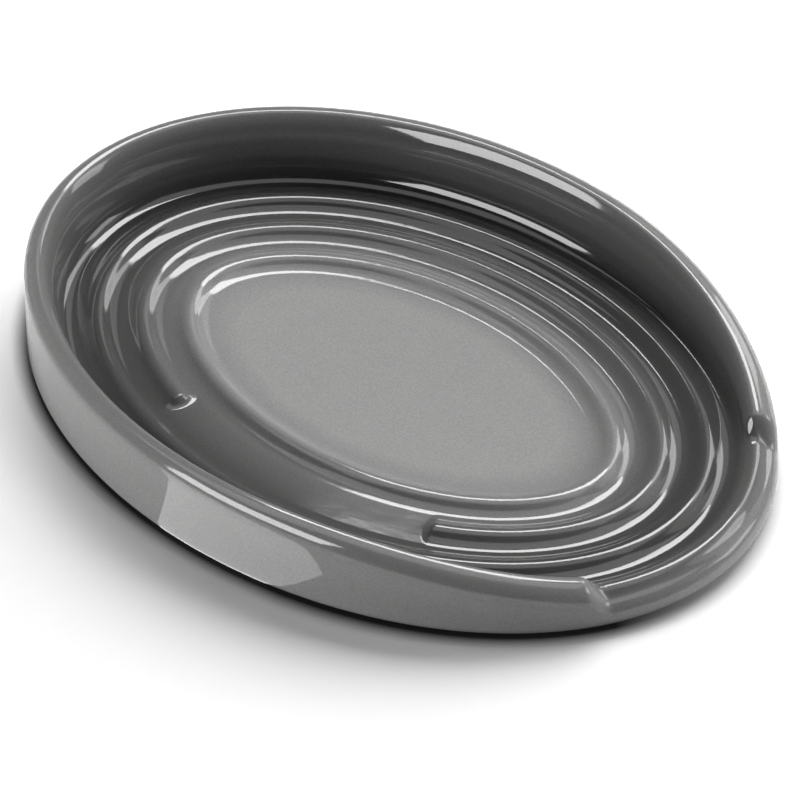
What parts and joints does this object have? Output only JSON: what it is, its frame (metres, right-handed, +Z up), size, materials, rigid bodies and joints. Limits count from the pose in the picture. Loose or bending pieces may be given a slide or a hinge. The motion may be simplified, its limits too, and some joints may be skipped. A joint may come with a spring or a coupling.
{
  "type": "spoon rest",
  "caption": "Oval glazed stoneware spoon rest: ringed floor, rim that falls towards the front, and a low notch in the rim for the spoon's handle.",
  "frame": {"origin": "centre of the oval on the table, in the plane the foot ring stands on", "axes": "+X along the dish towards the notch for the handle, +Y to the left of it, +Z up"},
  "size_m": [0.158, 0.1154, 0.0193],
  "materials": {
    "stoneware": "bare fired clay, matt",
    "glaze": "glossy grey glaze, lighter on the level floor and on the outside of the wall"
  },
  "bodies": {
    "root": {"stoneware_body": "stoneware", "glaze_coat": "glaze"}
  },
  "joints": []
}
